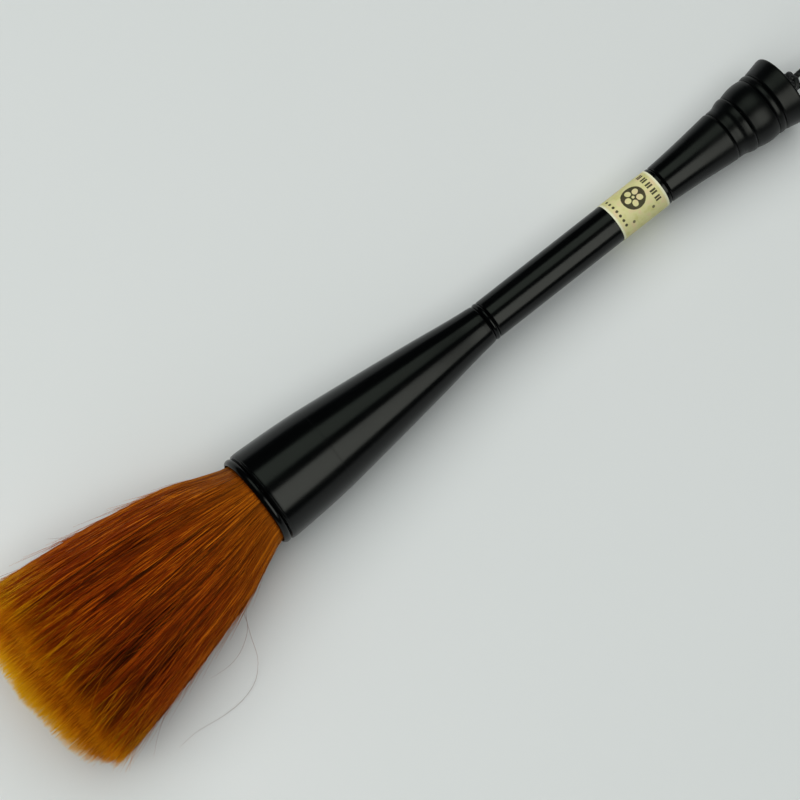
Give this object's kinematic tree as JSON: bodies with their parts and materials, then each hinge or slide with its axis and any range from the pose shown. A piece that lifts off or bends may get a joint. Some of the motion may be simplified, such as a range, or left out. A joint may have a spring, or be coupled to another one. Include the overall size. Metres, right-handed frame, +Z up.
{
  "type": "calligraphy brush",
  "caption": "Large writing brush: splayed brown hair tuft, flared black horn ferrule, slender turned handle with a paper label band, flared tail and a hanging cord loop",
  "frame": {"origin": "middle of the footprint on the table that the brush lies on, without the hanging cord", "axes": "+X along the handle towards the tail, so the hair points to -X; +Z up from the table that the brush lies on; +Y across the handle, on the left when looking from above along +X"},
  "size_m": [0.4308, 0.075, 0.0466],
  "materials": {
    "black_horn": null,
    "label_paper": "aged cream paper, matt, slightly mottled",
    "outer_hair": "long animal hair, orange at the root, red-brown in the middle, ochre at the tips",
    "inner_hair": "stiffer dark brown hair",
    "black_cord": "twisted black cord with a slight sheen",
    "binding_thread": "waxed natural thread",
    "root_resin": "hard amber resin",
    "socket_glue": "set glue",
    "bamboo": "plain bamboo, unfinished"
  },
  "bodies": {
    "root": {"mouth_ring": "black_horn", "ferrule_cup": "black_horn", "neck_ring": "black_horn", "shaft": "black_horn", "label_band": "label_paper", "tail_sleeve": "black_horn", "tail_collar": "black_horn", "tail_bulb": "black_horn", "tail_ring": "black_horn", "end_cup": "black_horn", "tail_dowel": "bamboo", "cord_end_left": "black_cord", "cord_end_right": "black_cord", "cord_peg": "bamboo", "cord_knot": "black_cord", "hair_mantle": "outer_hair", "hair_core": "inner_hair", "root_binding": "binding_thread", "root_seal": "root_resin", "socket_glue": "socket_glue", "hanging_cord": "black_cord"}
  },
  "joints": []
}
